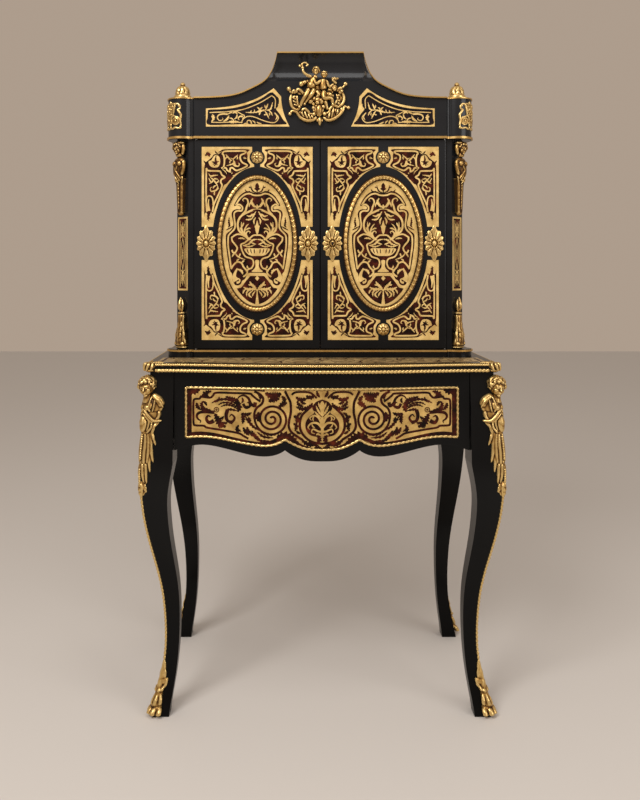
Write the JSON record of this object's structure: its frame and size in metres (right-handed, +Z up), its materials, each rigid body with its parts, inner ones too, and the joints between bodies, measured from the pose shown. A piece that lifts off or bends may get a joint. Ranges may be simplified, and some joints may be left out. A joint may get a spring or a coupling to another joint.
{
  "type": "cabinet desk",
  "caption": "Ebonised lady's cabinet desk on cabriole legs: bowed desk with a drawer, doored cabinet above, brass and shell marquetry panels, gilt figure mounts and an arched crest",
  "frame": {"origin": "on the floor, at the middle of the outer box", "axes": "+Z up, front faces -Y, +X to the viewer's right"},
  "size_m": [0.7922, 0.4924, 1.457],
  "materials": {
    "ebonised_wood": "black French polish",
    "plain_wood": "waxed secondary wood",
    "gilt_bronze": "cast and gilded",
    "brass_line": "polished",
    "marquetry": "brass and shell veneer, polished",
    "steel": "bright"
  },
  "bodies": {
    "desk": {"desk_top": "ebonised_wood", "front_left_leg": "ebonised_wood", "front_right_leg": "ebonised_wood", "back_left_leg": "ebonised_wood", "back_right_leg": "ebonised_wood", "side_aprons": "ebonised_wood", "back_apron": "ebonised_wood", "cabinet_plinth": "ebonised_wood", "cabinet_sides": "ebonised_wood", "left_corner_post": "ebonised_wood", "right_corner_post": "ebonised_wood", "cornice_frieze": "ebonised_wood", "cornice_returns": "ebonised_wood", "front_rails": "plain_wood", "drawer_runners": "plain_wood", "cabinet_floor": "plain_wood", "cabinet_ceiling": "plain_wood", "cabinet_back": "plain_wood", "shelf": "plain_wood", "shelf_battens": "plain_wood", "cornice_cover": "plain_wood", "top_corner_mounts": "gilt_bronze", "leg_edge_beads": "gilt_bronze", "front_paw_shoes": "gilt_bronze", "back_paw_shoes": "gilt_bronze", "left_knee_bust": "gilt_bronze", "right_knee_bust": "gilt_bronze", "finials": "gilt_bronze", "corner_fretwork": "gilt_bronze", "crest_mount": "gilt_bronze", "post_figures": "gilt_bronze", "post_foot_leaves": "gilt_bronze", "top_upper_moulding": "brass_line", "top_lower_moulding": "brass_line", "plinth_bead": "brass_line", "cornice_base_bead": "brass_line", "cornice_top_bead": "brass_line", "desk_top_inlay": "marquetry", "post_inlays": "marquetry", "frieze_inlays": "marquetry", "door_pivot_pins": "steel"},
    "left_door": {"left_door": "ebonised_wood", "left_door_inlay": "marquetry", "left_oval_ring": "gilt_bronze", "left_door_rosettes": "gilt_bronze", "left_door_bosses": "gilt_bronze"},
    "right_door": {"right_door": "ebonised_wood", "right_door_inlay": "marquetry", "right_oval_ring": "gilt_bronze", "right_door_rosettes": "gilt_bronze", "right_door_bosses": "gilt_bronze", "lock_case": "steel"},
    "lock_bolt": {"lock_bolt": "steel"},
    "flush_bolt": {"flush_bolt": "steel"},
    "drawer": {"drawer_front": "ebonised_wood", "drawer_inlay": "marquetry", "drawer_rope_frame": "brass_line", "drawer_sides": "plain_wood", "drawer_back": "plain_wood", "drawer_bottom": "plain_wood"}
  },
  "joints": [
    {"name": "left_door_hinge", "type": "hinge", "parent": "desk", "child": "left_door", "pos_m": [-0.284, -0.08875, 0.783], "axis": [0, 0, -1], "range_deg": [0, 100]},
    {"name": "right_door_hinge", "type": "hinge", "parent": "desk", "child": "right_door", "pos_m": [0.284, -0.08875, 0.783], "axis": [0, 0, 1], "range_deg": [0, 100]},
    {"name": "drawer_slide", "type": "slide", "parent": "desk", "child": "drawer", "axis": [0, -1, 0], "range_m": [0, 0.26]},
    {"name": "lock_bolt_slide", "type": "slide", "parent": "right_door", "child": "lock_bolt", "axis": [-1, 0, 0], "range_m": [0, 0.01]},
    {"name": "flush_bolt_slide", "type": "slide", "parent": "left_door", "child": "flush_bolt", "axis": [0, 0, 1], "range_m": [0, 0.009]}
  ]
}
